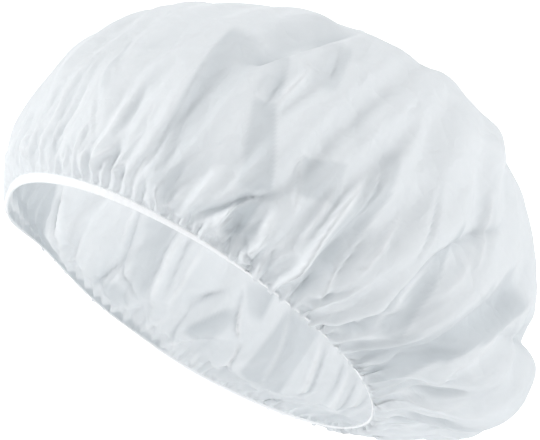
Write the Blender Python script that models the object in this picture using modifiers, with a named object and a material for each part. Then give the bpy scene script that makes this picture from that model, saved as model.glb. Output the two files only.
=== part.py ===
"""Bouffant cap: a puffed crown of gathered nonwoven cloth, held open by an elastic binding round its rim.

The cap is modelled as it is worn. The origin is the centre of the rim, +Z is up, the wearer faces -Y
and their left ear is towards +X. The rim's front is tilted up. The crown is laid out in the rim's own
frame: forwards along it, sideways across it and up from it into the crown. A turn is counted round the
rim from the forehead, by way of the left ear. A rise is the share of the way up the cloth, from the
collar above the binding to the apex.
Blender 4.5, metres.
"""

import math

import bmesh
import bpy
import numpy as np

# Rim: the middle of the binding's edge, which goes round the head.
RIM_LENGTH = 0.206
RIM_WIDTH = 0.162
RIM_TILT_DEG = 31.5

# Crown: how far the puffed cloth reaches from the rim's centre, in the rim's frame.
FRONT_REACH = 0.117
BACK_REACH = 0.169
SIDE_REACH = 0.116
CROWN_HEIGHT = 0.150
APEX_BACK = 0.025
CLOTH_WALL = 0.001

# Binding: an elastic channel that is folded over the crown's gathered edge. The collar is the flat
# cloth between the channel and the first gather.
BINDING_DEPTH = 0.005
BINDING_LEG = 0.0007
BINDING_CLEARANCE = 0.0003
COLLAR = 0.001

# How far the cloth leans outwards from straight up as it leaves the binding.
LEAN_DEG = {"front": 34.0, "side": 84.0, "back": 62.0}

# Lines round the crown between the rim and its widest place. Out is the share of the way from the rim
# to the reach, up is the share of the crown's height.
UNDERSIDE = (
    # name, front out, side out, back out, front up, side up, back up
    ("hem", 0.66, 0.26, 0.20, 0.08, 0.03, 0.04),
    ("skirt", 0.94, 0.66, 0.70, 0.20, 0.13, 0.13),
    ("bulge", 1.00, 1.00, 1.00, 0.42, 0.40, 0.37),
)

# Lines between the widest place and the apex. Out is the share of the way from the apex to the reach.
DOME = (
    # name, front out, side out, back out, front up, side up, back up
    ("shoulder", 0.89, 0.93, 0.83, 0.67, 0.68, 0.65),
    ("upper", 0.69, 0.74, 0.64, 0.84, 0.87, 0.87),
    ("top", 0.38, 0.38, 0.32, 0.97, 0.98, 1.00),
    ("apex", 0.00, 0.00, 0.00, 1.00, 1.00, 1.00),
)

# Gathers: small pleats that the elastic draws into the cloth. They start at the binding and fade out.
GATHERS = 30
GATHER_DEPTH = 0.0016
GATHER_START_SHARE = 0.02
GATHER_FADE_SHARE = 0.20

# Folds and dents seen in the cloth. Each one runs between two places, given by turn and rise. A ridge
# has a depth below nought.
FOLD_DEPTH = 0.004
FOLD_WIDTH = 0.010
FOLDS = (
    # name, from turn, from rise, to turn, to rise, depth share, width share
    ("forehead crease", 14, 0.02, 13, 0.34, 0.5, 0.8),
    ("temple crease", 30, 0.04, 26, 0.34, 0.6, 0.8),
    ("temple ridge", 38, 0.04, 38, 0.22, -0.5, 0.8),
    ("panel crease", 47, 0.04, 50, 0.36, 0.5, 1.0),
    ("overlap, lower part", 68, 0.12, 60, 0.30, 0.7, 1.0),
    ("overlap, upper part", 60, 0.28, 53, 0.48, 0.7, 1.0),
    ("overlap ridge", 63, 0.26, 61, 0.42, -0.5, 0.8),
    ("swag crease", 57, 0.03, 68, 0.12, 1.0, 0.8),
    ("pocket behind swag", 71, 0.04, 73, 0.13, 1.2, 1.1),
    ("ear ridge", 87, 0.04, 81, 0.24, -0.9, 0.8),
    ("ear crease", 92, 0.04, 88, 0.20, 0.8, 0.8),
    ("crease behind ear", 99, 0.03, 92, 0.17, 0.7, 0.8),
    ("short crease", 112, 0.02, 112, 0.10, 0.7, 0.7),
    ("long crease, upper part", 109, 0.36, 106, 0.20, 1.0, 0.9),
    ("long crease, lower part", 106, 0.22, 120, 0.07, 1.1, 1.0),
    ("shadowed hollow", 124, 0.30, 126, 0.06, 1.3, 2.2),
    ("bag edge, upper part", 146, 0.42, 134, 0.20, 1.5, 1.0),
    ("bag edge, lower part", 134, 0.22, 142, 0.03, 1.5, 1.0),
    ("bag ridge", 148, 0.10, 154, 0.34, -1.4, 2.2),
    ("bag crease", 158, 0.03, 160, 0.20, 0.8, 0.9),
    ("nape crease", 178, 0.03, 180, 0.22, 0.6, 1.0),
    ("top crease, front part", 47, 0.42, 55, 0.56, 0.8, 0.9),
    ("top crease, back part", 55, 0.54, 72, 0.66, 0.9, 0.9),
    ("corner ridge", 98, 0.58, 122, 0.60, -1.5, 1.5),
    ("corner crease", 96, 0.46, 116, 0.52, 0.7, 1.0),
    ("far wedge", 293, 0.18, 284, 0.03, 0.8, 1.0),
    ("far crease", 279, 0.26, 273, 0.14, 0.7, 0.8),
    ("far dent", 267, 0.09, 262, 0.03, 1.2, 1.2),
    ("far ridge", 266, 0.26, 260, 0.10, -0.8, 0.8),
    ("far hollow", 250, 0.05, 246, 0.17, 1.2, 1.0),
    ("far panel crease", 245, 0.17, 239, 0.03, 0.8, 0.8),
    ("far panel ridge", 236, 0.20, 232, 0.04, -0.8, 1.2),
    ("far bag crease", 226, 0.22, 223, 0.03, 1.0, 0.9),
    ("far bag hollow", 208, 0.30, 212, 0.06, 1.1, 1.8),
    ("far side crease", 300, 0.50, 322, 0.30, 0.8, 1.1),
    ("far shoulder crease", 252, 0.58, 230, 0.38, 0.9, 1.2),
    ("far front crease", 340, 0.10, 346, 0.40, 0.5, 0.9),
)

# Grid of the crown's cloth. The rows are closer together near the binding.
AROUND = 120
UP = 19
ROW_CROWDING = 1.25


def towards(turn, front, side, back):
    """A value that is front at no turn, side at a quarter turn and back at a half turn."""
    ahead = np.maximum(np.cos(turn), 0.0) ** 2
    behind = np.maximum(-np.cos(turn), 0.0) ** 2
    return side + (front - side) * ahead + (back - side) * behind


def rim_line(turn):
    forwards = 0.5 * RIM_LENGTH * np.cos(turn)
    sideways = 0.5 * RIM_WIDTH * np.sin(turn)
    return np.stack([forwards, sideways, np.zeros_like(turn)], -1)


def leaving_directions(turn):
    """The way the cloth leaves the rim, and the way out through the cloth there."""
    out = np.stack([RIM_WIDTH * np.cos(turn), RIM_LENGTH * np.sin(turn), np.zeros_like(turn)], -1)
    out /= np.linalg.norm(out, axis=-1, keepdims=True)
    up = np.array([0.0, 0.0, 1.0])
    lean = np.radians(towards(turn, **LEAN_DEG))[..., None]
    return np.cos(lean) * up + np.sin(lean) * out, np.cos(lean) * out - np.sin(lean) * up


def egg_line(turn, reach, middle, height):
    """A line round the crown, from its reach and height to the front, side and back."""
    front, side, back = reach
    ahead = np.maximum(np.cos(turn), 0.0)
    behind = np.maximum(-np.cos(turn), 0.0)
    forwards = middle + (front - middle) * ahead - (back + middle) * behind
    return np.stack([forwards, side * np.sin(turn), towards(turn, *height)], -1)


def lines_round(turn):
    """The crown's lines, from the top of the collar to the apex."""
    leaving, _ = leaving_directions(turn)
    rim = 0.5 * np.array([RIM_LENGTH, RIM_WIDTH, RIM_LENGTH])
    apex = np.array([-APEX_BACK, 0.0, APEX_BACK])
    reach = np.array([FRONT_REACH, SIDE_REACH, BACK_REACH])
    lines = [rim_line(turn) + leaving * (BINDING_DEPTH + COLLAR)]
    for start, table in ((rim, UNDERSIDE), (apex, DOME)):
        for _, *shares in table:
            out = np.array(shares[:3])
            up = np.array(shares[3:])
            line_reach = start + (reach - start) * out
            lines.append(egg_line(turn, line_reach, -APEX_BACK * up[1], CROWN_HEIGHT * up))
    return np.array(lines)


def plain_surface(turn, rise):
    """Points of the crown without its folds. Turn and rise have the same shape, or turn has one row."""
    turn, rise = np.broadcast_arrays(turn, rise)
    lines = lines_round(turn)
    steps = np.linalg.norm(np.diff(lines_round(TURNS), axis=0), axis=-1).mean(axis=1)
    knots = np.concatenate([[0.0], np.cumsum(steps)])
    slopes = np.gradient(lines, knots, axis=0)
    slopes[0], _ = leaving_directions(turn)
    place = rise * knots[-1]
    index = np.clip(np.searchsorted(knots, place, side="right") - 1, 0, len(knots) - 2)
    gap = (knots[index + 1] - knots[index])[..., None]
    t = (place - knots[index])[..., None] / gap
    pick = index[None, ..., None]
    below = np.take_along_axis(lines, pick, 0)[0]
    above = np.take_along_axis(lines, pick + 1, 0)[0]
    slope_below = np.take_along_axis(slopes, pick, 0)[0]
    slope_above = np.take_along_axis(slopes, pick + 1, 0)[0]
    along = below * (2 * t**3 - 3 * t**2 + 1) + above * (3 * t**2 - 2 * t**3)
    return along + gap * (slope_below * (t**3 - 2 * t**2 + t) + slope_above * (t**3 - t**2))


def outward_normals(surface):
    round_cloth = np.roll(surface, -1, axis=1) - np.roll(surface, 1, axis=1)
    up_cloth = np.gradient(surface, axis=0)
    normals = np.cross(round_cloth, up_cloth)
    return normals / np.maximum(np.linalg.norm(normals, axis=-1, keepdims=True), 1e-9)


def distance_to_line(points, line):
    """Distance of each point from a line of short pieces, and its share of the way along the line."""
    nearest = np.full(points.shape[:-1], np.inf)
    share = np.zeros(points.shape[:-1])
    pieces = len(line) - 1
    for piece in range(pieces):
        start = line[piece]
        step = line[piece + 1] - start
        t = np.clip((points - start) @ step / (step @ step), 0.0, 1.0)
        distance = np.linalg.norm(points - start - t[..., None] * step, axis=-1)
        closer = distance < nearest
        nearest = np.where(closer, distance, nearest)
        share = np.where(closer, (piece + t) / pieces, share)
    return nearest, share


def fold_depths(surface):
    """How far each point of the crown is pushed in by the folds."""
    depths = np.zeros(surface.shape[:-1])
    steps = np.linspace(0.0, 1.0, 9)
    for _, from_turn, from_rise, to_turn, to_rise, depth, width in FOLDS:
        turn = np.radians(from_turn + (to_turn - from_turn) * steps)
        line = plain_surface(turn, from_rise + (to_rise - from_rise) * steps)
        distance, share = distance_to_line(surface, line)
        across = np.exp(-((distance / (width * FOLD_WIDTH)) ** 2))
        along = 0.4 + 0.6 * np.sin(math.pi * share)
        depths += depth * FOLD_DEPTH * across * along
    return depths


def gather_depths(turn, rise):
    wave = np.sin(GATHERS * turn + 0.9 * np.sin(3.0 * turn) + 0.6 * np.sin(5.0 * turn + 1.0))
    strength = 0.8 + 0.2 * np.sin(7.0 * turn)
    start = np.minimum(rise / GATHER_START_SHARE, 1.0)
    return GATHER_DEPTH * wave * strength * start * np.exp(-rise / GATHER_FADE_SHARE)


def cloth_surface():
    """The crown's rows of points, from the top of the collar to the apex."""
    rise = np.linspace(0.0, 1.0, UP + 1)[:, None] ** ROW_CROWDING
    surface = plain_surface(TURNS[None, :], rise)
    normals = outward_normals(surface)
    free = np.minimum(rise / GATHER_START_SHARE, 1.0)
    fade = 1.0 - rise**8
    depths = gather_depths(TURNS[None, :], rise) + fold_depths(surface) * free * fade
    return surface - normals * depths[..., None]


def to_row_frame(points):
    """From the rim's frame to the frame in which +Z is up."""
    tilt = math.radians(RIM_TILT_DEG)
    forwards = (0.0, -math.cos(tilt), math.sin(tilt))
    sideways = (1.0, 0.0, 0.0)
    up = (0.0, math.sin(tilt), math.cos(tilt))
    return points @ np.array([forwards, sideways, up])


def strip_faces(lower, upper):
    """Faces of a closed strip between two rows of points, given the number of the first point of each."""
    faces = []
    for column in range(AROUND):
        after = (column + 1) % AROUND
        faces.append((lower + column, lower + after, upper + after, upper + column))
    return faces


def new_object(name, points, faces, material):
    mesh = bpy.data.meshes.new(name)
    mesh.from_pydata(to_row_frame(points).tolist(), [], faces)
    shape = bmesh.new()
    shape.from_mesh(mesh)
    bmesh.ops.recalc_face_normals(shape, faces=shape.faces)
    shape.to_mesh(mesh)
    shape.free()
    mesh.materials.append(material)
    obj = bpy.data.objects.new(name, mesh)
    bpy.data.collections["bouffant_cap"].objects.link(obj)
    return obj


def new_material(name, colour, roughness):
    material = bpy.data.materials.new(name)
    material.use_nodes = True
    shader = material.node_tree.nodes["Principled BSDF"]
    shader.inputs["Base Color"].default_value = (*colour, 1.0)
    shader.inputs["Roughness"].default_value = roughness
    shader.inputs["Metallic"].default_value = 0.0
    return material


def build_crown():
    leaving, _ = leaving_directions(TURNS)
    edge = rim_line(TURNS) + leaving * (BINDING_LEG + BINDING_CLEARANCE)
    surface = cloth_surface()
    apex = surface[-1].mean(axis=0)
    points = np.concatenate([edge, surface[:-1].reshape(-1, 3), apex[None]])
    faces = []
    for row in range(UP):
        faces += strip_faces(row * AROUND, (row + 1) * AROUND)
    for column in range(AROUND):
        faces.append((UP * AROUND + column, UP * AROUND + (column + 1) % AROUND, len(points) - 1))
    crown = new_object("crown", points, faces, new_material("nonwoven", (0.80, 0.83, 0.85), 0.85))
    wall = crown.modifiers.new("cloth_wall", "SOLIDIFY")
    wall.thickness = CLOTH_WALL
    wall.offset = 0.0
    wall.use_even_offset = True


def build_binding():
    inner = 0.5 * CLOTH_WALL + BINDING_CLEARANCE
    outer = inner + BINDING_LEG
    section = (
        # out, along the cloth
        (-outer, 0.0),
        (outer, 0.0),
        (outer, BINDING_DEPTH),
        (inner, BINDING_DEPTH),
        (inner, BINDING_LEG),
        (-inner, BINDING_LEG),
        (-inner, BINDING_DEPTH),
        (-outer, BINDING_DEPTH),
    )
    leaving, through = leaving_directions(TURNS)
    rim = rim_line(TURNS)
    points = np.concatenate([rim + through * out + leaving * along for out, along in section])
    faces = []
    for corner in range(len(section)):
        faces += strip_faces(corner * AROUND, (corner + 1) % len(section) * AROUND)
    new_object("elastic_binding", points, faces, new_material("elastic", (0.93, 0.94, 0.95), 0.60))


def main():
    for obj in list(bpy.data.objects):
        bpy.data.objects.remove(obj)
    collection = bpy.data.collections.new("bouffant_cap")
    bpy.context.scene.collection.children.link(collection)
    build_crown()
    build_binding()


TURNS = np.linspace(0.0, 2.0 * math.pi, AROUND, endpoint=False)
main()
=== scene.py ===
"""Bouffant cap: the gathered nonwoven crown and its elastic edge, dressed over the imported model.

Metres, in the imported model's frame: +Z up as worn, the forehead towards -Y, the left ear towards +X.
The crown is laid out in the rim's own frame: forwards, sideways and up from the rim. A turn is counted
round the rim from the forehead, by way of the left ear. A rise is the share of the way up the cloth.
"""

import math

import bpy
import numpy as np
from mathutils import Matrix, Vector


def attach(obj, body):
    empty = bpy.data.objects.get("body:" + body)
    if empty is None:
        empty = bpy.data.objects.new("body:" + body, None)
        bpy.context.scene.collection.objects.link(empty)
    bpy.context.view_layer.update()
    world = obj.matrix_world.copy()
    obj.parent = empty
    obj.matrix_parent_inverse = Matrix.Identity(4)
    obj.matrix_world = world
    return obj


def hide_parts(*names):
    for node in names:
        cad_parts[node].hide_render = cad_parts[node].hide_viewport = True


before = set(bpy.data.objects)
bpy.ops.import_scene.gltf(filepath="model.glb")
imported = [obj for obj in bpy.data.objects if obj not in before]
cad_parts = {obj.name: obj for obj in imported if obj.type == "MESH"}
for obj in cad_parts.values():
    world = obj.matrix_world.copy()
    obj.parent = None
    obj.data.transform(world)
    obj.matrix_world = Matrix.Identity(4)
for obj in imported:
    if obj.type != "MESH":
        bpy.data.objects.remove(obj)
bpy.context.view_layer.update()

# Rim and crown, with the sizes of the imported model.
RIM_LENGTH = 0.206
RIM_WIDTH = 0.162
RIM_TILT_DEG = 31.5
FRONT_REACH = 0.117
BACK_REACH = 0.169
SIDE_REACH = 0.116
CROWN_HEIGHT = 0.150
APEX_BACK = 0.025

# The cloth is cut as a disc this far across before it is gathered.
CUT_ACROSS = 0.533

# How the edge lies at each turn. A lean is measured outwards from straight up: the band's, and that of
# the cloth where it leaves the band. Near the left ear the cloth bulges down over the band and hides it.
# Gathers is the share of the full fullness that the cloth has at the band.
EDGE = (
    # turn, band's lean, band's depth, band's thickness, cloth's lean, rim's lift, gathers
    (0, 30, 0.0046, 0.0016, 30, 0.0000, 0.35),
    (30, 38, 0.0040, 0.0016, 38, 0.0000, 0.40),
    (60, 66, 0.0034, 0.0016, 66, 0.0000, 0.80),
    (90, 96, 0.0022, 0.0012, 125, 0.0000, 1.10),
    (120, 100, 0.0014, 0.0008, 150, 0.0000, 0.90),
    (150, 90, 0.0010, 0.0007, 140, -0.0006, 1.10),
    (180, 66, 0.0014, 0.0009, 80, 0.0000, 1.60),
    (210, 60, 0.0022, 0.0016, 52, 0.0008, 1.00),
    (240, 60, 0.0022, 0.0016, 44, 0.0010, 0.50),
    (270, 60, 0.0016, 0.0009, 36, 0.0024, 0.25),
    (300, 50, 0.0014, 0.0007, 32, 0.0048, 0.20),
    (330, 40, 0.0022, 0.0010, 30, -0.0022, 0.25),
    (360, 30, 0.0046, 0.0016, 30, 0.0000, 0.35),
)
BAND_LEAN, BAND_DEPTH, BAND_THICKNESS, CLOTH_LEAN, RIM_LIFT, GATHERS = 1, 2, 3, 4, 5, 6
EDGE_STEP_DEG = 30.0

# The cloth's edge lies this far up inside the band.
CLOTH_EDGE_HEIGHT = 0.0009

# The band's mesh: points along it and round it, how boxy it is, from 1 for round to 0 for square, and how
# many slight bulges it has, with their share of its thickness.
BAND_COLUMNS = 900
BAND_CORNERS = 16
BAND_BOXINESS = 0.7
BAND_BULGES = 151
BAND_BULGE = 0.10

# Lines round the crown between the rim and its widest place. Out is the share of the way from the rim
# to the reach, up is the share of the crown's height.
UNDERSIDE = (
    # front out, side out, back out, front up, side up, back up
    (0.66, 0.26, 0.20, 0.08, 0.02, 0.04),
    (0.94, 0.66, 0.70, 0.20, 0.12, 0.13),
    (1.00, 1.00, 1.00, 0.42, 0.40, 0.37),
)

# Lines between the widest place and the apex. Out is the share of the way from the apex to the reach.
DOME = (
    # front out, side out, back out, front up, side up, back up
    (0.89, 0.93, 0.83, 0.67, 0.68, 0.65),
    (0.69, 0.74, 0.64, 0.84, 0.87, 0.87),
    (0.38, 0.38, 0.32, 0.97, 0.98, 1.00),
    (0.00, 0.00, 0.00, 1.00, 1.00, 1.00),
)

# Wide folds that the cloth settles round, as seen in the photograph. Each runs between two places, given
# by turn and rise. Depth is in millimetres, below nought for a swelling, and width is half the fold's
# width in millimetres.
FOLDS = (
    # from turn, from rise, to turn, to rise, depth, width
    (57, 0.015, 66, 0.08, 4.0, 5),
    (66, 0.08, 68, 0.13, 4.0, 5),
    (71, 0.03, 72, 0.12, 5.0, 6),
    (61, 0.06, 68, 0.15, -2.6, 6),
    (89, 0.02, 81, 0.24, -3.0, 6),
    (86, 0.05, 79, 0.22, 2.0, 5),
    (92, 0.04, 88, 0.20, 2.6, 6),
    (109, 0.37, 106, 0.20, 3.0, 7),
    (106, 0.21, 112, 0.12, 4.0, 7),
    (126, 0.05, 122, 0.16, 5.0, 15),
    (122, 0.16, 126, 0.36, 5.0, 15),
    (150, 0.385, 130, 0.26, 4.0, 8),
    (176, 0.42, 140, 0.35, 4.0, 10),
    (131, 0.28, 129, 0.14, 3.0, 7),
    (129, 0.14, 141, 0.03, 5.5, 6),
    (148, 0.12, 152, 0.32, -4.0, 18),
    (160, 0.05, 168, 0.20, 4.5, 14),
    (112, 0.42, 118, 0.52, 2.0, 16),
    (80, 0.66, 104, 0.64, -3.6, 26),
    (100, 0.66, 113, 0.56, -3.4, 22),
    (0, 0.34, 20, 0.40, 3.0, 22),
    (344, 0.22, 352, 0.36, 3.4, 22),
    (36, 0.64, 54, 0.66, -2.8, 24),
    (47, 0.42, 56, 0.54, 2.4, 8),
    (293, 0.18, 284, 0.03, 3.0, 7),
    (267, 0.09, 262, 0.03, 4.5, 9),
    (250, 0.05, 246, 0.17, 4.6, 8),
    (236, 0.20, 232, 0.04, -3.0, 12),
    (208, 0.30, 212, 0.06, 4.0, 16),
    (300, 0.50, 322, 0.30, 2.6, 9),
    (252, 0.58, 230, 0.38, 3.0, 10),
    (200, 0.62, 170, 0.50, 2.6, 11),
)

# Sharp creases, laid on the settled cloth, each with shade painted into the cloth's colour along a valley
# and light along a ridge. Depth and half width are in millimetres as above.
CREASES = (
    # from turn, from rise, to turn, to rise, depth, width
    # Forehead.
    (14, 0.02, 13, 0.31, 1.3, 4),
    (12, 0.04, 11, 0.22, -0.9, 3),
    (18, 0.03, 15, 0.30, 1.0, 4),
    (20, 0.04, 17, 0.24, -0.8, 4),
    (7, 0.12, 8, 0.22, 0.8, 3),
    (24, 0.26, 18, 0.35, 1.2, 8),
    (30, 0.02, 29, 0.10, 1.2, 4),
    (27, 0.03, 26, 0.30, -0.9, 9),
    (34, 0.14, 33, 0.24, 1.4, 4),
    (31, 0.05, 31, 0.20, -0.8, 4),
    (37, 0.02, 36, 0.14, 0.9, 3),
    (41, 0.02, 40, 0.10, 1.0, 3),
    (350, 0.20, 12, 0.42, 1.8, 34),
    # Temple.
    (49, 0.03, 41, 0.36, -0.9, 4),
    (46, 0.04, 40, 0.32, -0.8, 7),
    (60, 0.06, 55, 0.30, -1.0, 8),
    (62, 0.05, 68, 0.17, 2.8, 4),
    (63, 0.04, 69, 0.15, -1.6, 3),
    (72, 0.03, 69, 0.15, 2.4, 7),
    (75, 0.03, 73, 0.14, 1.4, 3),
    (77, 0.03, 76, 0.09, -1.6, 3),
    (76, 0.08, 74, 0.15, -1.6, 3),
    (79, 0.03, 78, 0.10, 1.4, 3),
    (60, 0.30, 60, 0.41, -1.4, 4),
    (58, 0.29, 57, 0.38, 1.2, 4),
    (66, 0.39, 61, 0.53, 1.0, 6),
    (48, 0.38, 53, 0.45, 2.0, 6),
    (53, 0.44, 61, 0.62, 1.8, 6),
    # Above the ear.
    (77, 0.17, 70, 0.26, -1.2, 3),
    (82, 0.14, 80, 0.24, -1.4, 3),
    (84, 0.13, 82, 0.25, 1.6, 3),
    (87, 0.07, 84, 0.19, -2.2, 4),
    (84, 0.17, 83, 0.28, -2.0, 4),
    (89, 0.09, 90, 0.25, 1.6, 8),
    (93, 0.12, 90, 0.32, -1.0, 7),
    (94, 0.11, 92, 0.22, 2.0, 3),
    (97, 0.04, 92, 0.14, -1.8, 4),
    (92, 0.12, 90, 0.20, -1.2, 4),
    (103, 0.02, 108, 0.08, 2.4, 3),
    (108, 0.07, 104, 0.18, 2.4, 4),
    (104, 0.16, 104, 0.27, 2.4, 4),
    (104, 0.25, 110, 0.37, 2.0, 4),
    (109, 0.35, 117, 0.43, 1.6, 4),
    (100, 0.10, 99, 0.28, -1.0, 12),
    (110, 0.20, 110, 0.34, -1.8, 8),
    (80, 0.02, 74, 0.07, 1.8, 2.2),
    (83, 0.03, 80, 0.10, 1.8, 2.5),
    (86, 0.03, 87, 0.12, -1.8, 2.5),
    (92, 0.03, 91, 0.10, 1.8, 2.2),
    (95, 0.04, 97, 0.13, 1.8, 2.5),
    (99, 0.03, 100, 0.10, -1.8, 2.5),
    (66, 0.13, 72, 0.18, 1.8, 2.5),
    (68, 0.05, 66, 0.12, -1.8, 2.5),
    (88, 0.20, 86, 0.31, 1.4, 2.5),
    (96, 0.14, 94, 0.26, -1.6, 2.5),
    (101, 0.22, 97, 0.36, 1.4, 2.5),
    (112, 0.30, 109, 0.44, -1.4, 3),
    # Hollow behind the ear, and the bag under it.
    (122, 0.06, 121, 0.20, 2.6, 22),
    (121, 0.18, 127, 0.36, 2.6, 22),
    (150, 0.385, 130, 0.26, 3.2, 8),
    (176, 0.42, 136, 0.33, 3.4, 12),
    (133, 0.08, 129, 0.15, -2.0, 5),
    (129, 0.13, 129, 0.29, -2.4, 7),
    (135, 0.05, 132, 0.16, 2.8, 5),
    (136, 0.05, 135, 0.13, -1.6, 3),
    (138, 0.04, 137, 0.15, 2.2, 3),
    (141, 0.05, 141, 0.15, -1.4, 3),
    (150, 0.04, 152, 0.13, 1.8, 4),
    (158, 0.03, 160, 0.20, 1.6, 5),
    (158, 0.04, 166, 0.22, 2.0, 26),
    (162, 0.12, 196, 0.13, 3.0, 26),
    # Top.
    (110, 0.48, 112, 0.70, -1.6, 10),
    (44, 0.60, 100, 0.66, -1.8, 34),
    (98, 0.52, 124, 0.56, -1.0, 12),
    # Far side, seen through the rim.
    (291, 0.02, 292, 0.13, -1.6, 2.5),
    (292, 0.12, 298, 0.26, -1.8, 3),
    (293.5, 0.13, 299, 0.25, 1.2, 2.5),
    (276, 0.23, 279, 0.36, -1.4, 2.5),
    (274, 0.20, 278, 0.35, 1.6, 2.5),
    (278, 0.06, 274, 0.22, 1.8, 2.5),
    (274, 0.21, 266, 0.17, 1.6, 2.5),
    (265, 0.18, 268, 0.37, 1.6, 2.5),
    (263.5, 0.18, 266, 0.36, -1.6, 2.5),
    (262, 0.20, 264.5, 0.38, 1.4, 2.2),
    (260, 0.18, 261, 0.36, -1.6, 2.5),
    (254, 0.06, 257, 0.22, 1.8, 2.5),
    (257, 0.21, 255, 0.27, 1.4, 2.2),
    (258, 0.22, 252, 0.31, 1.6, 2.5),
    (252.5, 0.06, 249, 0.17, -2.0, 3),
    (256, 0.08, 251, 0.17, -2.0, 2.5),
    (249.5, 0.33, 247, 0.24, 1.8, 2.2),
    (247, 0.25, 240, 0.12, 2.0, 2.5),
    (248.5, 0.30, 241.5, 0.13, -2.4, 2.5),
    (235, 0.16, 239, 0.34, -1.6, 3),
    (226, 0.14, 230, 0.31, -2.0, 2.5),
    (224.5, 0.12, 228.5, 0.31, 1.6, 2.2),
    (221, 0.18, 224, 0.30, 1.4, 2.2),
    (217.5, 0.10, 222, 0.28, -1.8, 2.5),
    (215.5, 0.10, 219, 0.27, 1.6, 2.2),
    (213.5, 0.11, 217, 0.26, -1.6, 2.2),
    (211.5, 0.11, 215, 0.25, 1.4, 2.2),
)

# Flat pleats and places where the cloth lies double, and patches of painted shade where shadow falls: next
# to the rim and in the hollow behind the ear, inside the far wall at its left end, and along the far rim.
# Half widths are in millimetres. So are the ends: how softly a patch fades there, and its sides with them.
# Fade tells how far it fades out to the right of its line, or to the left if it is below nought. Double and
# shade is how much of the second layer shows, and how dark the painted shade is.
PLEATS = (
    # from turn, from rise, to turn, to rise, from half width, to half width, ends, fade, double and shade
    (53, 0.01, 45, 0.46, 10, 13, 10, 0.9, 1.1),
    (68, 0.16, 57, 0.31, 8, 5, 3, -0.3, 1.0),
    (59, 0.29, 50, 0.43, 5, 9, 8, -1, 0.8),
    (64, 0.38, 60, 0.54, 8, 7, 8, -1, 0.7),
    (71, 0.04, 68, 0.16, 4, 5, 4, 0, 0.8),
    (79, 0.205, 74.5, 0.27, 10, 10, 2, 0.5, 1.0),
    (88, 0.22, 83, 0.38, 8, 8, 12, -1, 0.8),
    (90, 0.11, 87, 0.30, 8, 7, 5, 0, 0.7),
    (90, 0.03, 89, 0.14, 6, 6, 6, 0, 0.6),
    (113, 0.08, 105, 0.36, 6, 2, 8, 0, 1.0),
    # Painted shade next to the rim behind the ear, and in the hollow there.
    (116, 0.01, 119, 0.14, 12, 12, 8, 0, 0.7),
    (123, 0.02, 121, 0.22, 12, 14, 7, -0.4, 1.1),
    (121, 0.14, 123, 0.31, 14, 14, 8, -0.4, 1.1),
    (122, 0.22, 129, 0.385, 14, 12, 9, -0.4, 1.1),
    (27, 0.18, 18, 0.38, 4, 6, 10, 1, 0.6),
    (44, 0.44, 56, 0.64, 12, 14, 14, -1, 0.6),
    (154, 0.04, 162, 0.22, 10, 12, 10, 0, 0.5),
    # Painted shade inside the far wall at its left end.
    (308, 0.00, 309, 0.28, 28, 16, 13, 0, 1.6),
    (296, 0.06, 300, 0.24, 5, 6, 8, -1, 1.5),
    (303, 0.05, 305, 0.25, 3, 4, 8, 1, 1.4),
    # Painted shadow along the far rim.
    (330, 0.012, 313, 0.014, 3, 3, 6, 0, 1.3),
    (315, 0.014, 296, 0.014, 3, 3, 3, 0, 1.4),
    (298, 0.012, 281, 0.012, 2.5, 2.5, 3, 0, 1.4),
    (283, 0.012, 266, 0.012, 2.5, 2.5, 3, 0, 1.4),
    (268, 0.012, 252, 0.012, 2, 2, 3, 0, 1.0),
    (274, 0.05, 268, 0.18, 9, 6, 9, -0.8, 1.0),
    (266, 0.16, 273, 0.38, 4, 10, 12, 0.5, 0.8),
    (252, 0.15, 248, 0.29, 8, 3, 9, -0.7, 1.2),
    (244, 0.27, 247, 0.38, 3, 9, 9, 0.6, 1.0),
    (234, 0.13, 235, 0.36, 11, 11, 7, -0.3, 0.8),
)

# Slight creases and ridges placed by chance: broad ones and fine ones all over, thin ones that run up from
# near the band, and short sharp ones next to it. Each paints shade along a valley and light along a ridge,
# as the creases above do. Depths and half widths are in millimetres. Rises and lengths are shares of the
# way up. Spread is how far they turn from straight up, in radians.
CRUMPLES = (
    # how many, rises, lengths, depths, half widths, spread
    (130, (0.04, 0.90), (0.06, 0.22), (0.2, 0.9), (4.0, 14.0), 0.7),
    (160, (0.05, 0.85), (0.03, 0.10), (0.1, 0.5), (2.0, 4.0), 1.0),
    (150, (0.02, 0.08), (0.05, 0.20), (0.2, 0.7), (1.8, 3.5), 0.25),
    (190, (0.01, 0.06), (0.02, 0.07), (0.5, 1.3), (1.6, 2.4), 0.5),
)
CRUMPLE_SEED = 11

# The turn of such a crease that lies flat round the crown, for a length of one rise.
DEGREES_PER_RISE = 70.0

# A crease's sides run down to its line by this power, and it fades out at its ends. Creases and crimps are
# laid on this many times as deep as they are given.
CREASE_SHARPNESS = 1.6
CREASE_STRENGTH = 1.7

# A pleat's upper layer stands this far out. Its sides fade over the blur, or over this share of its
# ends' value if that is more. It covers no cloth further behind it than the reach.
PLEAT_STEP = 0.0006
PLEAT_BLUR = 0.0022
PLEAT_SIDE_BLUR = 0.3
PLEAT_REACH = 0.03

# Small waves in the cloth along the band: how many, how deep, and the rise over which they fade. They also
# paint shade into their troughs and light onto their crests.
CRIMPS = 128
CRIMP_DEPTH = 0.0003
CRIMP_FADE = 0.035

# How dark pleats and doubled cloth make the cloth's colour, and how much shade is painted into crease
# valleys and light onto ridges, on the scale on which one more layer is 1. A crease with the shaded half
# width counts once, and a narrower one more, up to the limit. The painted shade and light of creases and
# crimps is held within the range.
PLEAT_SHADE = 1.4
CREASE_SHADE = 400.0
SHADED_WIDTH = 0.006
NARROW_LIMIT = 1.6
CREASE_SHADE_RANGE = (-0.7, 1.4)

# The cloth stands up straighter from the band on the far side: these lines of it are this much higher.
FAR_LIFTS = ((1, 0.008), (2, 0.004))

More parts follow.
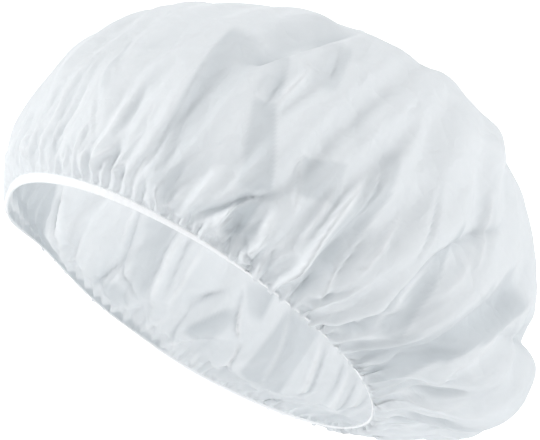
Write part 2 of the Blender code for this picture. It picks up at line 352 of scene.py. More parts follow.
# Grid of the relaxed cloth, and of the finished mesh.
COARSE = (200, 50)
FINE = (400, 100)
FINISHED = (720, 130)
CROWDING = 1.35

# How much more length there is round the cloth than its goal has: all over, near the band at the front
# and elsewhere, half way up, and at the edge on each grid, times the table's gathers.
EXTRA_ALL_OVER = 0.01
EXTRA_SOFT = 0.20
EXTRA_SOFT_FRONT = 0.05
EXTRA_MIDDLE = 0.06
EXTRA_EDGE_COARSE = 0.15
EXTRA_EDGE_FINE = 1.4
SLACK_UP = 1.01

# How the cloth is relaxed on each grid: how uneven it is at first, for how many steps, and how stiff it is.
COARSE_START = 0.0007
COARSE_STEPS = 300
COARSE_BEND = 0.06
FINE_START = 0.00035
FINE_STEPS = 200
FINE_BEND = 0.04

# The pull to the goal, which is stronger near the edge and weaker straight in or out. Folds may be so
# deep at the edge, and so much deeper above it, and are pressed back from there.
GOAL_PULL = 0.004
EDGE_PULL = 0.06
EDGE_PULL_FADE = 0.05
IN_OUT_FREEDOM = 0.4
FOLD_START = 0.0012
FOLD_LIMIT = 0.008
PRESS_BACK = 0.3

# The share of a wrong length that one step takes out, along the cloth's threads and across them.
THREAD_HOLD = 0.9
CROSS_HOLD = 0.1


def grid_of(columns, rows):
    """Turns of the columns and rises of the rows, which lie closer together near the rim."""
    turn = np.linspace(0.0, 2.0 * math.pi, columns, endpoint=False)
    rise = np.linspace(0.0, 1.0, rows + 1)[:, None] ** CROWDING
    return turn, rise


def between(turn, front, side, back):
    """A value that is front at no turn, side at a quarter turn and back at a half turn."""
    ahead = np.maximum(np.cos(turn), 0.0) ** 2
    behind = np.maximum(-np.cos(turn), 0.0) ** 2
    return side + (front - side) * ahead + (back - side) * behind


def edge_value(turn, column):
    """A column of the edge's table at each turn, along smooth steps."""
    table = np.array(EDGE, dtype=float)
    place = np.degrees(turn) % 360.0 / EDGE_STEP_DEG
    index = np.minimum(place.astype(int), len(table) - 2)
    share = place - index
    share = share * share * (3.0 - 2.0 * share)
    values = table[:, column]
    return values[index] + (values[index + 1] - values[index]) * share


def rim_line(turn):
    forwards = 0.5 * RIM_LENGTH * np.cos(turn)
    sideways = 0.5 * RIM_WIDTH * np.sin(turn)
    return np.stack([forwards, sideways, edge_value(turn, RIM_LIFT)], -1)


def leaving_directions(turn, column):
    """The way the band or the cloth leaves the rim, and the way out through it there."""
    out = np.stack([RIM_WIDTH * np.cos(turn), RIM_LENGTH * np.sin(turn), np.zeros_like(turn)], -1)
    out /= np.linalg.norm(out, axis=-1, keepdims=True)
    up = np.array([0.0, 0.0, 1.0])
    lean = np.radians(edge_value(turn, column))[..., None]
    return np.cos(lean) * up + np.sin(lean) * out, np.cos(lean) * out - np.sin(lean) * up


def egg_line(turn, reach, middle, height):
    front, side, back = reach
    ahead = np.maximum(np.cos(turn), 0.0)
    behind = np.maximum(-np.cos(turn), 0.0)
    forwards = middle + (front - middle) * ahead - (back + middle) * behind
    return np.stack([forwards, side * np.sin(turn), between(turn, *height)], -1)


def lines_round(turn):
    """The crown's lines, from the top of the elastic edge to the apex."""
    leaving, _ = leaving_directions(turn, BAND_LEAN)
    rim = 0.5 * np.array([RIM_LENGTH, RIM_WIDTH, RIM_LENGTH])
    apex = np.array([-APEX_BACK, 0.0, APEX_BACK])
    reach = np.array([FRONT_REACH, SIDE_REACH, BACK_REACH])
    lines = [rim_line(turn) + leaving * edge_value(turn, BAND_DEPTH)[..., None]]
    for start, table in ((rim, UNDERSIDE), (apex, DOME)):
        for shares in table:
            out = np.array(shares[:3])
            up = np.array(shares[3:])
            line_reach = start + (reach - start) * out
            lines.append(egg_line(turn, line_reach, -APEX_BACK * up[1], CROWN_HEIGHT * up))
    for line, lift in FAR_LIFTS:
        lines[line][..., 2] += lift * np.maximum(-np.sin(turn), 0.0)
    return np.array(lines)


def plain_surface(turn, rise):
    """Points of the crown without its folds."""
    turn, rise = np.broadcast_arrays(turn, rise)
    lines = lines_round(turn)
    all_round = np.linspace(0.0, 2.0 * math.pi, 120, endpoint=False)
    steps = np.linalg.norm(np.diff(lines_round(all_round), axis=0), axis=-1).mean(axis=1)
    knots = np.concatenate([[0.0], np.cumsum(steps)])
    slopes = np.gradient(lines, knots, axis=0)
    slopes[0], _ = leaving_directions(turn, CLOTH_LEAN)
    place = rise * knots[-1]
    index = np.clip(np.searchsorted(knots, place, side="right") - 1, 0, len(knots) - 2)
    gap = (knots[index + 1] - knots[index])[..., None]
    t = (place - knots[index])[..., None] / gap
    pick = index[None, ..., None]
    below = np.take_along_axis(lines, pick, 0)[0]
    above = np.take_along_axis(lines, pick + 1, 0)[0]
    slope_below = np.take_along_axis(slopes, pick, 0)[0]
    slope_above = np.take_along_axis(slopes, pick + 1, 0)[0]
    along = below * (2 * t**3 - 3 * t**2 + 1) + above * (3 * t**2 - 2 * t**3)
    return along + gap * (slope_below * (t**3 - 2 * t**2 + t) + slope_above * (t**3 - t**2))


def outward_normals(surface):
    round_cloth = np.roll(surface, -1, axis=1) - np.roll(surface, 1, axis=1)
    up_cloth = np.gradient(surface, axis=0)
    normals = np.cross(round_cloth, up_cloth)
    return normals / np.maximum(np.linalg.norm(normals, axis=-1, keepdims=True), 1e-9)


def distance_to_line(points, line):
    """Distance of each point from a line of short pieces, and its share of the way along the line."""
    nearest = np.full(points.shape[:-1], np.inf)
    share = np.zeros(points.shape[:-1])
    pieces = len(line) - 1
    for piece in range(pieces):
        start = line[piece]
        step = line[piece + 1] - start
        t = np.clip((points - start) @ step / (step @ step), 0.0, 1.0)
        distance = np.linalg.norm(points - start - t[..., None] * step, axis=-1)
        closer = distance < nearest
        nearest = np.where(closer, distance, nearest)
        share = np.where(closer, (piece + t) / pieces, share)
    return nearest, share


def fold_depths(surface):
    """How far each point is pushed in by the folds of the photograph."""
    depths = np.zeros(surface.shape[:-1])
    steps = np.linspace(0.0, 1.0, 9)
    for from_turn, from_rise, to_turn, to_rise, depth, width in FOLDS:
        turn = np.radians(from_turn + (to_turn - from_turn) * steps)
        line = plain_surface(turn, from_rise + (to_rise - from_rise) * steps)
        distance, share = distance_to_line(surface, line)
        across = np.exp(-((distance / (0.001 * width)) ** 2))
        along = 0.35 + 0.65 * np.sin(math.pi * share)
        depths += 0.001 * depth * across * along
    return depths


def lay_crease(surface, depths, shades, ends, depth, width):
    """Adds one sharp crease, and paints shade into the cloth's colour along its valley and light along its
    ridge. Its sides run straight down to its line and fade out. A narrow crease paints more shade and light
    than a wide one of the same depth."""
    from_turn, from_rise, to_turn, to_rise = ends
    steps = np.linspace(0.0, 1.0, 9)
    turn = np.radians(from_turn + (to_turn - from_turn) * steps)
    line = plain_surface(turn, from_rise + (to_rise - from_rise) * steps)
    width = 0.001 * width
    middle = line.mean(axis=0)
    reach = np.linalg.norm(line - middle, axis=-1).max() + width
    near = np.linalg.norm(surface - middle, axis=-1) < reach
    distance, share = distance_to_line(surface[near], line)
    across = np.maximum(1.0 - distance / width, 0.0) ** CREASE_SHARPNESS
    crease = 0.001 * depth * across * np.sin(math.pi * np.clip(share, 0.04, 0.96)) ** 0.5
    depths[near] += crease
    # Painted shade along a crease's valley and painted light along its ridge.
    shades[near] += crease * min(NARROW_LIMIT, SHADED_WIDTH / width)


def crease_depths(surface):
    """How far the sharp creases and those placed by chance push each point in, and the shade and light they
    paint on it.
    """
    depths = np.zeros(surface.shape[:-1])
    shades = np.zeros(surface.shape[:-1])
    for from_turn, from_rise, to_turn, to_rise, depth, width in CREASES:
        lay_crease(surface, depths, shades, (from_turn, from_rise, to_turn, to_rise), depth, width)
    chance = np.random.default_rng(CRUMPLE_SEED)
    for count, rises, lengths, depth_range, widths, spread in CRUMPLES:
        for _ in range(count):
            turn, rise = chance.uniform(0.0, 360.0), chance.uniform(*rises)
            length = chance.uniform(*lengths)
            heading = chance.normal(0.0, spread)
            to_turn = turn + DEGREES_PER_RISE * length * math.sin(heading)
            ends = (turn, rise, to_turn, rise + length * math.cos(heading))
            depth = chance.uniform(*depth_range) * chance.choice((-1.0, 1.0))
            lay_crease(surface, depths, shades, ends, depth, chance.uniform(*widths))
    return depths, shades


def pleat_cover(surface, normals):
    """How far each point lies inside a pleat, and how much doubled cloth and painted shade show there."""
    inside = np.zeros(surface.shape[:-1])
    doubled_and_painted_shade = np.zeros(surface.shape[:-1])
    for from_turn, from_rise, to_turn, to_rise, from_half, to_half, ends, fade, double_and_shade in PLEATS:
        turn = np.radians([from_turn, 0.5 * (from_turn + to_turn), to_turn])
        rise = np.array([from_rise, 0.5 * (from_rise + to_rise), to_rise])
        start, middle, end = plain_surface(turn, rise)
        nearest = np.linalg.norm(surface - middle, axis=-1).argmin()
        facing = normals.reshape(-1, 3)[nearest]
        along = end - start
        share = (surface - start) @ along / (along @ along)
        aside = np.cross(along, facing)
        aside /= np.linalg.norm(aside)
        offset = (surface - start) @ aside
        half = 0.001 * (from_half + (to_half - from_half) * np.clip(share, 0.0, 1.0))
        from_end = np.minimum(share, 1.0 - share) * np.linalg.norm(along)
        within = np.clip(from_end / (0.001 * ends), 0.0, 1.0)
        blur = max(PLEAT_BLUR, 0.001 * PLEAT_SIDE_BLUR * ends)
        cover = np.clip(0.5 + (half - np.abs(offset)) / blur, 0.0, 1.0) * within
        in_reach = (surface - middle) @ facing > -PLEAT_REACH
        cover = np.where(in_reach, cover * cover * (3.0 - 2.0 * cover), 0.0)
        one_sided = 0.5 + 0.5 * np.sign(fade) * offset / half
        cover = cover * np.clip(1.0 - abs(fade) * one_sided, 0.0, 1.0)
        inside = np.maximum(inside, cover)
        doubled_and_painted_shade = np.maximum(doubled_and_painted_shade, cover * double_and_shade)
    return inside, doubled_and_painted_shade


def folded_surface(turn, rise):
    """The crown with its wide folds, and which way is out. The cloth settles towards this."""
    surface = plain_surface(turn[None, :], rise)
    normals = outward_normals(surface)
    free = np.minimum(rise / 0.02, 1.0) * (1.0 - rise**8)
    return surface - normals * (fold_depths(surface) * free)[..., None], normals


def unevenness(turn, rise, waves, layers, seed):
    """A smooth chance pattern over the crown, with a spread of one."""
    chance = np.random.default_rng(seed)
    total = 0.0
    for wave in range(1, waves):
        for layer in range(layers):
            size = chance.normal() / (1.0 + 0.02 * wave + 0.3 * layer)
            round_part = np.cos(wave * turn[None, :] + chance.uniform(0.0, 2.0 * math.pi))
            up_part = np.cos(layer * math.pi * rise + chance.uniform(0.0, 2.0 * math.pi))
            total = total + size * round_part * up_part
    return total / total.std()


def stretch_to(points, free, first, second, length, share):
    """Moves first points and second points towards the length that the cloth has between them."""
    step = points[second] - points[first]
    now = np.linalg.norm(step, axis=-1, keepdims=True)
    move = step * ((now - length) / np.maximum(now, 1e-9)) * (0.5 * share)
    points[first] += move * free[first]
    points[second] -= move * free[second]


def smoothing(points, axis):
    """How far each point lies from the middle of its neighbours, along one axis of the grid."""
    if axis == 1:
        return (np.roll(points, 1, 1) + np.roll(points, -1, 1)) * 0.5 - points
    result = np.zeros_like(points)
    result[1:-1] = (points[2:] + points[:-2]) * 0.5 - points[1:-1]
    return result


def relax(points, goal, normals, turn, rise, excess, steps, bend):
    """Lets the cloth find its folds. It has more length round it than the goal surface has room for,
    so it buckles as gathered cloth does, while bending stiffness and a soft pull to the goal hold it."""
    rows, columns, _ = points.shape
    round_length = np.linalg.norm(np.roll(goal, -1, 1) - goal, axis=-1, keepdims=True) * excess[..., None]
    up_length = np.linalg.norm(np.diff(goal, axis=0), axis=-1, keepdims=True) * SLACK_UP
    across = np.sqrt((0.5 * (round_length[:-1] + round_length[1:])) ** 2 + up_length**2)
    free = np.ones((rows, columns, 1))
    free[:2] = 0.0
    free[-1] = 0.0
    deepest = FOLD_LIMIT * np.clip(edge_value(turn, GATHERS), 0.4, 1.0)
    limit = (FOLD_START + deepest * np.minimum(rise / 0.10, 1.0) ** 0.8)[..., None]
    pull = (GOAL_PULL + EDGE_PULL * np.exp(-rise / EDGE_PULL_FADE))[..., None]
    ring = np.arange(columns)
    for step in range(steps):
        for odd in (0, 1):
            here = (slice(None), ring[odd::2])
            there = (slice(None), (ring[odd::2] + 1) % columns)
            stretch_to(points, free, here, there, round_length[here], THREAD_HOLD)
        for odd in (0, 1):
            low = np.arange(odd, rows - 1, 2)
            stretch_to(points, free, low, low + 1, up_length[low], THREAD_HOLD)
        if step % 2 == 0:
            for odd in (0, 1):
                low = np.arange(odd, rows - 1, 2)[:, None]
                for side in (1, -1):
                    here = (low, ring[None, :])
                    there = (low + 1, (ring[None, :] + side) % columns)
                    stretch_to(points, free, here, there, across[low[:, 0]], CROSS_HOLD)
        for axis in (1, 0):
            points -= bend * smoothing(smoothing(points, axis), axis) * free
        offset = points - goal
        depth = (offset * normals).sum(-1, keepdims=True)
        points -= free * pull * (offset - IN_OUT_FREEDOM * depth * normals)
        depth = ((points - goal) * normals).sum(-1, keepdims=True)
        over = np.maximum(np.abs(depth) - limit, 0.0) * np.sign(depth)
        points -= free * PRESS_BACK * over * normals
    for axis in (1, 0):
        points += 0.5 * smoothing(points, axis) * free * np.minimum(rise / 0.08, 1.0)[..., None]
    return points


def finer(points, rise, columns, new_rise):
    """The same surface on a finer grid, along smooth curves both ways."""
    rows = len(points)
    waves = np.fft.rfft(points, axis=1)
    more = np.zeros((rows, columns // 2 + 1 - waves.shape[1], 3))
    wide = np.fft.irfft(np.concatenate([waves, more], 1), n=columns, axis=1) * (columns / points.shape[1])
    place = np.interp(new_rise[:, 0], rise[:, 0], np.arange(rows))
    low = np.clip(place.astype(int), 0, rows - 2)
    t = (place - low)[:, None, None]
    before, here = wide[np.maximum(low - 1, 0)], wide[low]
    after, beyond = wide[low + 1], wide[np.minimum(low + 2, rows - 1)]
    bend_in = (2 * before - 5 * here + 4 * after - beyond) * t**2
    bend_out = (3 * here - before - 3 * after + beyond) * t**3
    return 0.5 * (2 * here + (after - before) * t + bend_in + bend_out)


def extra_round(turn, rise, edge):
    """The length round the cloth as a share of its goal's."""
    middle = EXTRA_MIDDLE * np.exp(-(((rise - 0.33) / 0.25) ** 2))
    soft = between(turn, EXTRA_SOFT_FRONT, EXTRA_SOFT, EXTRA_SOFT)
    edge = edge * edge_value(turn, GATHERS)
    return 1.0 + EXTRA_ALL_OVER + soft * np.exp(-rise / 0.2) + middle + edge * np.exp(-rise / 0.05)


def relaxed_cloth():
    """Turns, rises and points of the finished cloth, and how much doubled cloth and painted shade show:
    shade painted in pleats, crease valleys and crimp troughs, and light painted on ridges and crimp crests.
    """
    turn, rise = grid_of(*COARSE)
    goal, normals = folded_surface(turn, rise)
    uneven = unevenness(turn, rise, waves=50, layers=5, seed=3)
    start = COARSE_START * uneven * np.minimum(rise / 0.03, 1.0)
    points = goal - normals * start[..., None]
    excess = extra_round(turn, rise, EXTRA_EDGE_COARSE)
    points = relax(points, goal, normals, turn, rise, excess, COARSE_STEPS, COARSE_BEND)
    fine_turn, fine_rise = grid_of(*FINE)
    goal, normals = folded_surface(fine_turn, fine_rise)
    points = finer(points, rise, FINE[0], fine_rise)
    uneven = unevenness(fine_turn, fine_rise, waves=110, layers=3, seed=5)
    start = FINE_START * uneven * np.exp(-fine_rise / 0.2)
    points -= normals * (start * np.minimum(fine_rise / 0.01, 1.0))[..., None]
    points[:2] = goal[:2]
    excess = extra_round(fine_turn, fine_rise, EXTRA_EDGE_FINE)
    points = relax(points, goal, normals, fine_turn, fine_rise, excess, FINE_STEPS, FINE_BEND)
    turn, rise = grid_of(*FINISHED)
    cloth = finer(points, fine_rise, FINISHED[0], rise)
    plain = plain_surface(turn[None, :], rise)
    normals = outward_normals(plain)
    inside, doubled_and_painted_shade = pleat_cover(plain, normals)
    waves = np.sin(CRIMPS * turn + 4.0 * np.sin(5.0 * turn) + 2.5 * np.sin(13.0 * turn + 1.0))
    crimps = CRIMP_DEPTH * waves * np.exp(-rise / CRIMP_FADE)
    creases, shades = crease_depths(plain)
    push = CREASE_STRENGTH * (creases + crimps) - PLEAT_STEP * inside
    # Painted shade and light: pleats and doubled cloth, crease valleys and crimp troughs darken the colour,
    # ridges and crimp crests lighten it.
    doubled_and_painted_shade = PLEAT_SHADE * doubled_and_painted_shade + np.clip(CREASE_SHADE * (shades + crimps), *CREASE_SHADE_RANGE)
    free = np.minimum(rise / 0.008, 1.0) * (1.0 - rise**8)
    return turn, rise, cloth - normals * (push * free)[..., None], doubled_and_painted_shade


def to_row_frame(points):
    """From the rim's frame to the frame in which +Z is up."""
    tilt = math.radians(RIM_TILT_DEG)
    forwards = (0.0, -math.cos(tilt), math.sin(tilt))
    sideways = (1.0, 0.0, 0.0)
    up = (0.0, math.sin(tilt), math.cos(tilt))
    return points @ np.array([forwards, sideways, up])


def ring_faces(rows, columns, closed=False):
    """Faces between rings of points that lie row upon row, and back to the first if closed."""
    faces = []
    for row in range(rows if closed else rows - 1):
        low = row * columns
        high = (row + 1) % rows * columns
        for column in range(columns):
            after = (column + 1) % columns
            faces.append((low + column, low + after, high + after, high + column))
    return faces


def new_piece(name, points, faces):
    mesh = bpy.data.meshes.new(name)
    mesh.from_pydata(to_row_frame(points.reshape(-1, 3)).tolist(), [], faces)
    mesh.shade_smooth()
    piece = bpy.data.objects.new(name, mesh)
    bpy.context.scene.collection.objects.link(piece)
    return piece


def make_crown():
    """The cloth, from its edge inside the band to the apex."""
    turn, rise, cloth, doubled_and_painted_shade = relaxed_cloth()
    leaving, _ = leaving_directions(turn, BAND_LEAN)
    edge = rim_line(turn) + leaving * CLOTH_EDGE_HEIGHT
    rows = np.concatenate([edge[None], cloth[:-1]])
    columns = len(turn)
    faces = ring_faces(len(rows), columns)
    last = (len(rows) - 1) * columns
    for column in range(columns):
        faces.append((last + column, last + (column + 1) % columns, len(rows) * columns))
    points = np.concatenate([rows.reshape(-1, 3), cloth[-1].mean(axis=0)[None]])
    crown = new_piece("crown_cloth", points, faces)
    radius = np.concatenate([[1.0], 1.0 - rise[:-1, 0], [0.0]]) * 0.5
    flat = np.stack([radius[:-1, None] * np.cos(turn), radius[:-1, None] * np.sin(turn)], -1)
    flat = np.concatenate([flat.reshape(-1, 2), [[0.0, 0.0]]]) + 0.5
    layer = crown.data.uv_layers.new(name="flat_cut")
    corner = np.empty(len(crown.data.loops), dtype=np.int64)
    crown.data.loops.foreach_get("vertex_index", corner)
    layer.data.foreach_set("uv", flat[corner].astype(np.float32).ravel())
    # The doubled cloth and the painted shade and light, which the cloth's colour reads.
    layers = crown.data.attributes.new("doubled_and_painted_shade", "FLOAT", "POINT")
    values = np.concatenate([doubled_and_painted_shade[:1], doubled_and_painted_shade[:-1]]).ravel()
    layers.data.foreach_set("value", np.append(values, 0.0).astype(np.float32))
    return crown


def boxy(value):
    """Keeps the ends of a sine or cosine and moves the rest towards them, which squares a circle off."""
    return math.copysign(abs(value) ** BAND_BOXINESS, value)


def make_binding():
    """The elastic edge: a flattened tube round the rim, with slight bulges."""
    turn = np.linspace(0.0, 2.0 * math.pi, BAND_COLUMNS, endpoint=False)
    leaving, through = leaving_directions(turn, BAND_LEAN)
    depth = edge_value(turn, BAND_DEPTH)
    bulge = 1.0 + BAND_BULGE * np.sin(BAND_BULGES * turn + 1.7 * np.sin(7 * turn))
    half = 0.5 * edge_value(turn, BAND_THICKNESS) * bulge
    rings = []
    for corner in range(BAND_CORNERS):
        angle = 2.0 * math.pi * corner / BAND_CORNERS
        along = (0.5 - 0.5 * boxy(math.cos(angle))) * depth
        out = boxy(math.sin(angle)) * half
        rings.append(rim_line(turn) + leaving * along[:, None] + through * out[:, None])
    faces = ring_faces(BAND_CORNERS, BAND_COLUMNS, closed=True)
    return new_piece("rim_elastic", np.array(rings), [tuple(reversed(face)) for face in faces])


# Colours of the cloth and of the elastic. The layer and shade colour is that of cloth under a second layer
# and in the deepest painted shade.
CLOTH_COLOURS = ((0.93, 0.945, 0.955), (0.955, 0.967, 0.975))
LAYER_AND_SHADE_COLOUR = (0.68, 0.71, 0.73)
ELASTIC_COLOURS = ((0.88, 0.89, 0.90), (0.95, 0.955, 0.96))

# The values that show as the lightest cloth, where light is painted on ridges, and as the deepest painted
# shade, on the scale on which one more layer is 1, and the share of the light that goes through the cloth
# at either end.
SHADE_RANGE = (-0.6, 1.6)
THROUGH_RANGE = (0.50, 0.30)

# Patterns in the cloth, with scales per millimetre of the flat cloth: clouds of thicker and thinner
# fibres, the fibres, the bonds that hold them, and slight crumples whose edges are bent by the shift.
CLOUD_SCALE = 0.16
FIBRE_SCALE = 1.4
BOND_SCALE = 0.8
CRUMPLE_SCALE = 0.055
BEND_SCALE = 0.04
BEND_SHIFT = 22.0


class Nodes:
    """A short way to write a material's nodes."""

    def __init__(self, name):
        self.material = bpy.data.materials.new(name)
        self.material.use_nodes = True
        self.tree = self.material.node_tree
        self.tree.nodes.clear()

    def add(self, kind, inputs, **settings):
        """A node with these settings. An input is a value, or another node's output."""
        node = self.tree.nodes.new(kind)
        for key, value in settings.items():
            setattr(node, key, value)
        for key, value in inputs.items():
            if isinstance(value, bpy.types.NodeSocket):
                self.tree.links.new(value, node.inputs[key])
            else:
                node.inputs[key].default_value = value
        return node

    def noise(self, place, scale, detail, roughness, distortion=0.0):
        inputs = {"Vector": place, "Scale": scale, "Detail": detail}
        inputs.update({"Roughness": roughness, "Distortion": distortion})
        return self.add("ShaderNodeTexNoise", inputs)

    def spread(self, value, low, high, to_low=0.0, to_high=1.0):
        """The value's range from low to high, spread over another range."""
        inputs = {"Value": value, "From Min": low, "From Max": high, "To Min": to_low, "To Max": to_high}
        return self.add("ShaderNodeMapRange", inputs).outputs[0]

    def blend(self, share, first, second):
        inputs = {"Factor": share, "A": first, "B": second}
        return self.add("ShaderNodeMix", inputs, data_type="RGBA").outputs["Result"]

    def bump(self, height, strength, distance, below=None):
        inputs = {"Height": height, "Strength": strength, "Distance": distance}
        if below is not None:
            inputs["Normal"] = below
        return self.add("ShaderNodeBump", inputs).outputs[0]

    def finish(self, surface):
        self.add("ShaderNodeOutputMaterial", {"Surface": surface})
        return self.material


def solid(colour):
    return (*colour, 1.0)


def crumples(n, cut):
    """Slight crumples of the cloth, with bent edges."""
    bend = n.noise(cut, BEND_SCALE, 3.0, 0.6).outputs["Color"]
    shift = n.add("ShaderNodeVectorMath", {0: bend, "Scale": BEND_SHIFT}, operation="SCALE").outputs[0]
    place = n.add("ShaderNodeVectorMath", {0: cut, 1: shift}, operation="ADD").outputs[0]
    inputs = {"Vector": place, "Scale": CRUMPLE_SCALE, "Randomness": 1.0}
    edges = n.add("ShaderNodeTexVoronoi", inputs, feature="DISTANCE_TO_EDGE").outputs["Distance"]
    return n.bump(n.spread(edges, 0.0, 0.35), 0.30, 0.0016)


def nonwoven_material():
    n = Nodes("nonwoven_cloth")
    flat = n.add("ShaderNodeUVMap", {}, uv_map="flat_cut").outputs[0]
    millimetres = {0: flat, "Scale": 1000.0 * CUT_ACROSS}
    cut = n.add("ShaderNodeVectorMath", millimetres, operation="SCALE").outputs[0]
    clouds = n.noise(cut, CLOUD_SCALE, 4.0, 0.6).outputs["Fac"]
    fibres = n.noise(cut, FIBRE_SCALE, 6.0, 0.7, 1.5).outputs["Fac"]
    inputs = {"Vector": cut, "Scale": BOND_SCALE, "Randomness": 0.25}
    bonds = n.add("ShaderNodeTexVoronoi", inputs, feature="F1").outputs["Distance"]
    dots = n.spread(bonds, 0.15, 0.4, 0.0, 0.4)
    height = n.add("ShaderNodeMath", {0: fibres, 1: dots}, operation="ADD").outputs[0]
    bump = n.bump(height, 0.16, 0.00025, crumples(n, cut))
    plain = n.blend(n.spread(clouds, 0.3, 0.7), *map(solid, CLOTH_COLOURS))
    # Painted shade and light: the attribute darkens the cloth towards the layer and shade colour in pleats
    # and crease valleys, lightens it on ridges, and lets less light through where it is darker.
    layers = n.add("ShaderNodeAttribute", {}, attribute_name="doubled_and_painted_shade").outputs["Fac"]
    shade = n.spread(layers, *SHADE_RANGE)
    colour = n.blend(shade, plain, solid(LAYER_AND_SHADE_COLOUR))
    through = n.spread(shade, 0.0, 1.0, *THROUGH_RANGE)
    inputs = {
        "Base Color": colour,
        "Roughness": n.spread(fibres, 0.3, 0.7, 0.62, 0.8),
        "Normal": bump,
        "Sheen Weight": 0.15,
        "Specular IOR Level": 0.25,
    }
    front = n.add("ShaderNodeBsdfPrincipled", inputs).outputs[0]
    back = n.add("ShaderNodeBsdfTranslucent", {"Color": colour, "Normal": bump}).outputs[0]
    return n.finish(n.add("ShaderNodeMixShader", {0: through, 1: front, 2: back}).outputs[0])


def elastic_material():
    n = Nodes("white_elastic")
    place = n.add("ShaderNodeTexCoord", {}).outputs["Object"]
    ribs = n.noise(place, 900.0, 4.0, 0.6).outputs["Fac"]
    inputs = {
        "Base Color": n.blend(ribs, *map(solid, ELASTIC_COLOURS)),
        "Roughness": n.spread(ribs, 0.0, 1.0, 0.45, 0.65),
        "Normal": n.bump(ribs, 0.2, 0.0002),
    }
    return n.finish(n.add("ShaderNodeBsdfPrincipled", inputs).outputs[0])


def plain_material(name, colour, glow):
    n = Nodes(name)
    inputs = {
        "Base Color": solid(colour),
        "Roughness": 0.9,
        "Emission Color": solid((1.0, 1.0, 1.0)),
        "Emission Strength": glow,
    }
    return n.finish(n.add("ShaderNodeBsdfPrincipled", inputs).outputs[0])


# The photograph's camera, found from the rim's outline.
CAMERA_TURN_DEG = 59.6
CAMERA_RAISE_DEG = -7.3
CAMERA_DISTANCE = 1.2
METRES_PER_PIXEL = 0.000475
CAMERA_SHIFT = (0.0375, 0.0426)
PHOTO_WIDTH = 540
SENSOR_WIDTH = 36.0

# The stage. Lights lie to the right of the cap's centre, above it and towards the camera from there, in
# metres, as the photograph's camera sees it.
SKY_COLOUR = (0.96, 0.98, 1.0)
SKY_STRENGTH = 0.40
FLOOR_HEIGHT = -0.32
FLOOR_ACROSS = 8.0
BACKDROP_DISTANCE = 2.6
BACKDROP_ACROSS = 3.2
LIGHTS_AIM = (0.0, 0.03, 0.05)
LIGHTS = (
    # name, right, up, towards the camera, across, watts
    ("key", -1.3, 0.9, 0.5, 0.5, 16.8),
    ("side", 1.5, 0.7, 0.25, 0.5, 12.8),
    ("behind", -0.2, 0.7, -1.2, 0.7, 3.8),
)


def camera_axes():
    """To the right in the picture, up in it, and back from the cap to the camera."""
    turn = math.radians(CAMERA_TURN_DEG)
    rise = math.radians(CAMERA_RAISE_DEG)
    back = Vector((math.sin(turn) * math.cos(rise), -math.cos(turn) * math.cos(rise), math.sin(rise)))
    right = Vector((math.cos(turn), math.sin(turn), 0.0))
    return right, back.cross(right), back


def make_camera():
    right, up, back = camera_axes()
    data = bpy.data.cameras.new("photo_camera")
    data.sensor_width = SENSOR_WIDTH
    data.lens = CAMERA_DISTANCE / METRES_PER_PIXEL * SENSOR_WIDTH / PHOTO_WIDTH
    data.clip_start = 0.05
    data.clip_end = 20.0
    camera = bpy.data.objects.new("photo_camera", data)
    place = back * CAMERA_DISTANCE + right * CAMERA_SHIFT[0] + up * CAMERA_SHIFT[1]
    turned = Matrix((right, up, back)).transposed().to_4x4()
    camera.matrix_world = Matrix.Translation(place) @ turned
    bpy.context.scene.collection.objects.link(camera)
    bpy.context.scene.camera = camera


def plane(name, centre, across, facing, material):
    """A square plane of the stage, which faces that way."""
    mesh = bpy.data.meshes.new(name)
    half = 0.5 * across
    corners = [(-half, -half, 0), (half, -half, 0), (half, half, 0), (-half, half, 0)]
    mesh.from_pydata(corners, [], [(0, 1, 2, 3)])
    mesh.materials.append(material)
    obj = bpy.data.objects.new(name, mesh)
    turned = facing.to_track_quat("Z", "Y").to_matrix().to_4x4()
    obj.matrix_world = Matrix.Translation(centre) @ turned
    bpy.context.scene.collection.objects.link(obj)


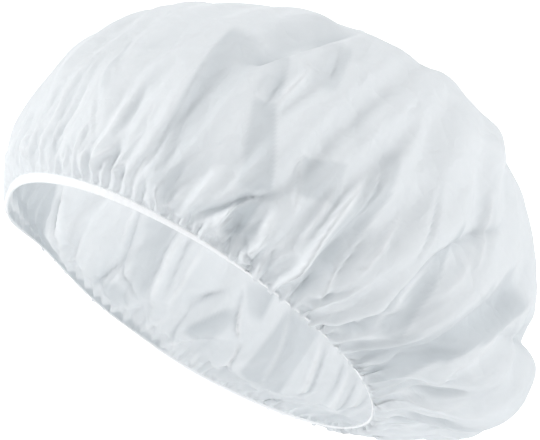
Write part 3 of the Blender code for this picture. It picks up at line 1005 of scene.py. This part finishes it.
def studio_world():
    """Soft light from all round, with plain white behind everything."""
    world = bpy.data.worlds.new("studio")
    world.use_nodes = True
    tree = world.node_tree
    soft = tree.nodes["Background"]
    soft.inputs["Color"].default_value = solid(SKY_COLOUR)
    soft.inputs["Strength"].default_value = SKY_STRENGTH
    white = tree.nodes.new("ShaderNodeBackground")
    white.inputs["Color"].default_value = solid((1.0, 1.0, 1.0))
    seen = tree.nodes.new("ShaderNodeLightPath")
    mixed = tree.nodes.new("ShaderNodeMixShader")
    tree.links.new(seen.outputs["Is Camera Ray"], mixed.inputs[0])
    tree.links.new(soft.outputs[0], mixed.inputs[1])
    tree.links.new(white.outputs[0], mixed.inputs[2])
    tree.links.new(mixed.outputs[0], tree.nodes["World Output"].inputs["Surface"])
    return world


def area_light(name, place, across, power):
    data = bpy.data.lights.new(name, "AREA")
    data.shape = "DISK"
    data.size = across
    data.energy = power
    light = bpy.data.objects.new(name, data)
    aim = Vector(LIGHTS_AIM) - place
    turned = aim.to_track_quat("-Z", "Y").to_matrix().to_4x4()
    light.matrix_world = Matrix.Translation(place) @ turned
    bpy.context.scene.collection.objects.link(light)


def make_stage():
    right, up, back = camera_axes()
    floor = plain_material("pale_floor", (0.88, 0.89, 0.90), 0.10)
    plane("floor", Vector((0.0, 0.0, FLOOR_HEIGHT)), FLOOR_ACROSS, Vector((0.0, 0.0, 1.0)), floor)
    backdrop = plain_material("white_backdrop", (0.9, 0.9, 0.9), 1.0)
    plane("backdrop", back * -BACKDROP_DISTANCE, BACKDROP_ACROSS, back, backdrop)
    bpy.context.scene.world = studio_world()
    for name, to_right, to_top, to_back, across, power in LIGHTS:
        area_light(name, right * to_right + up * to_top + back * to_back, across, power)


crown = make_crown()
crown.data.materials.append(nonwoven_material())
binding = make_binding()
binding.data.materials.append(elastic_material())

for piece, node, slot in ((crown, "crown", "nonwoven"), (binding, "elastic_binding", "elastic")):
    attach(piece, "root")
    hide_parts(node)

make_camera()
make_stage()
bpy.context.scene.view_settings.view_transform = "Standard"
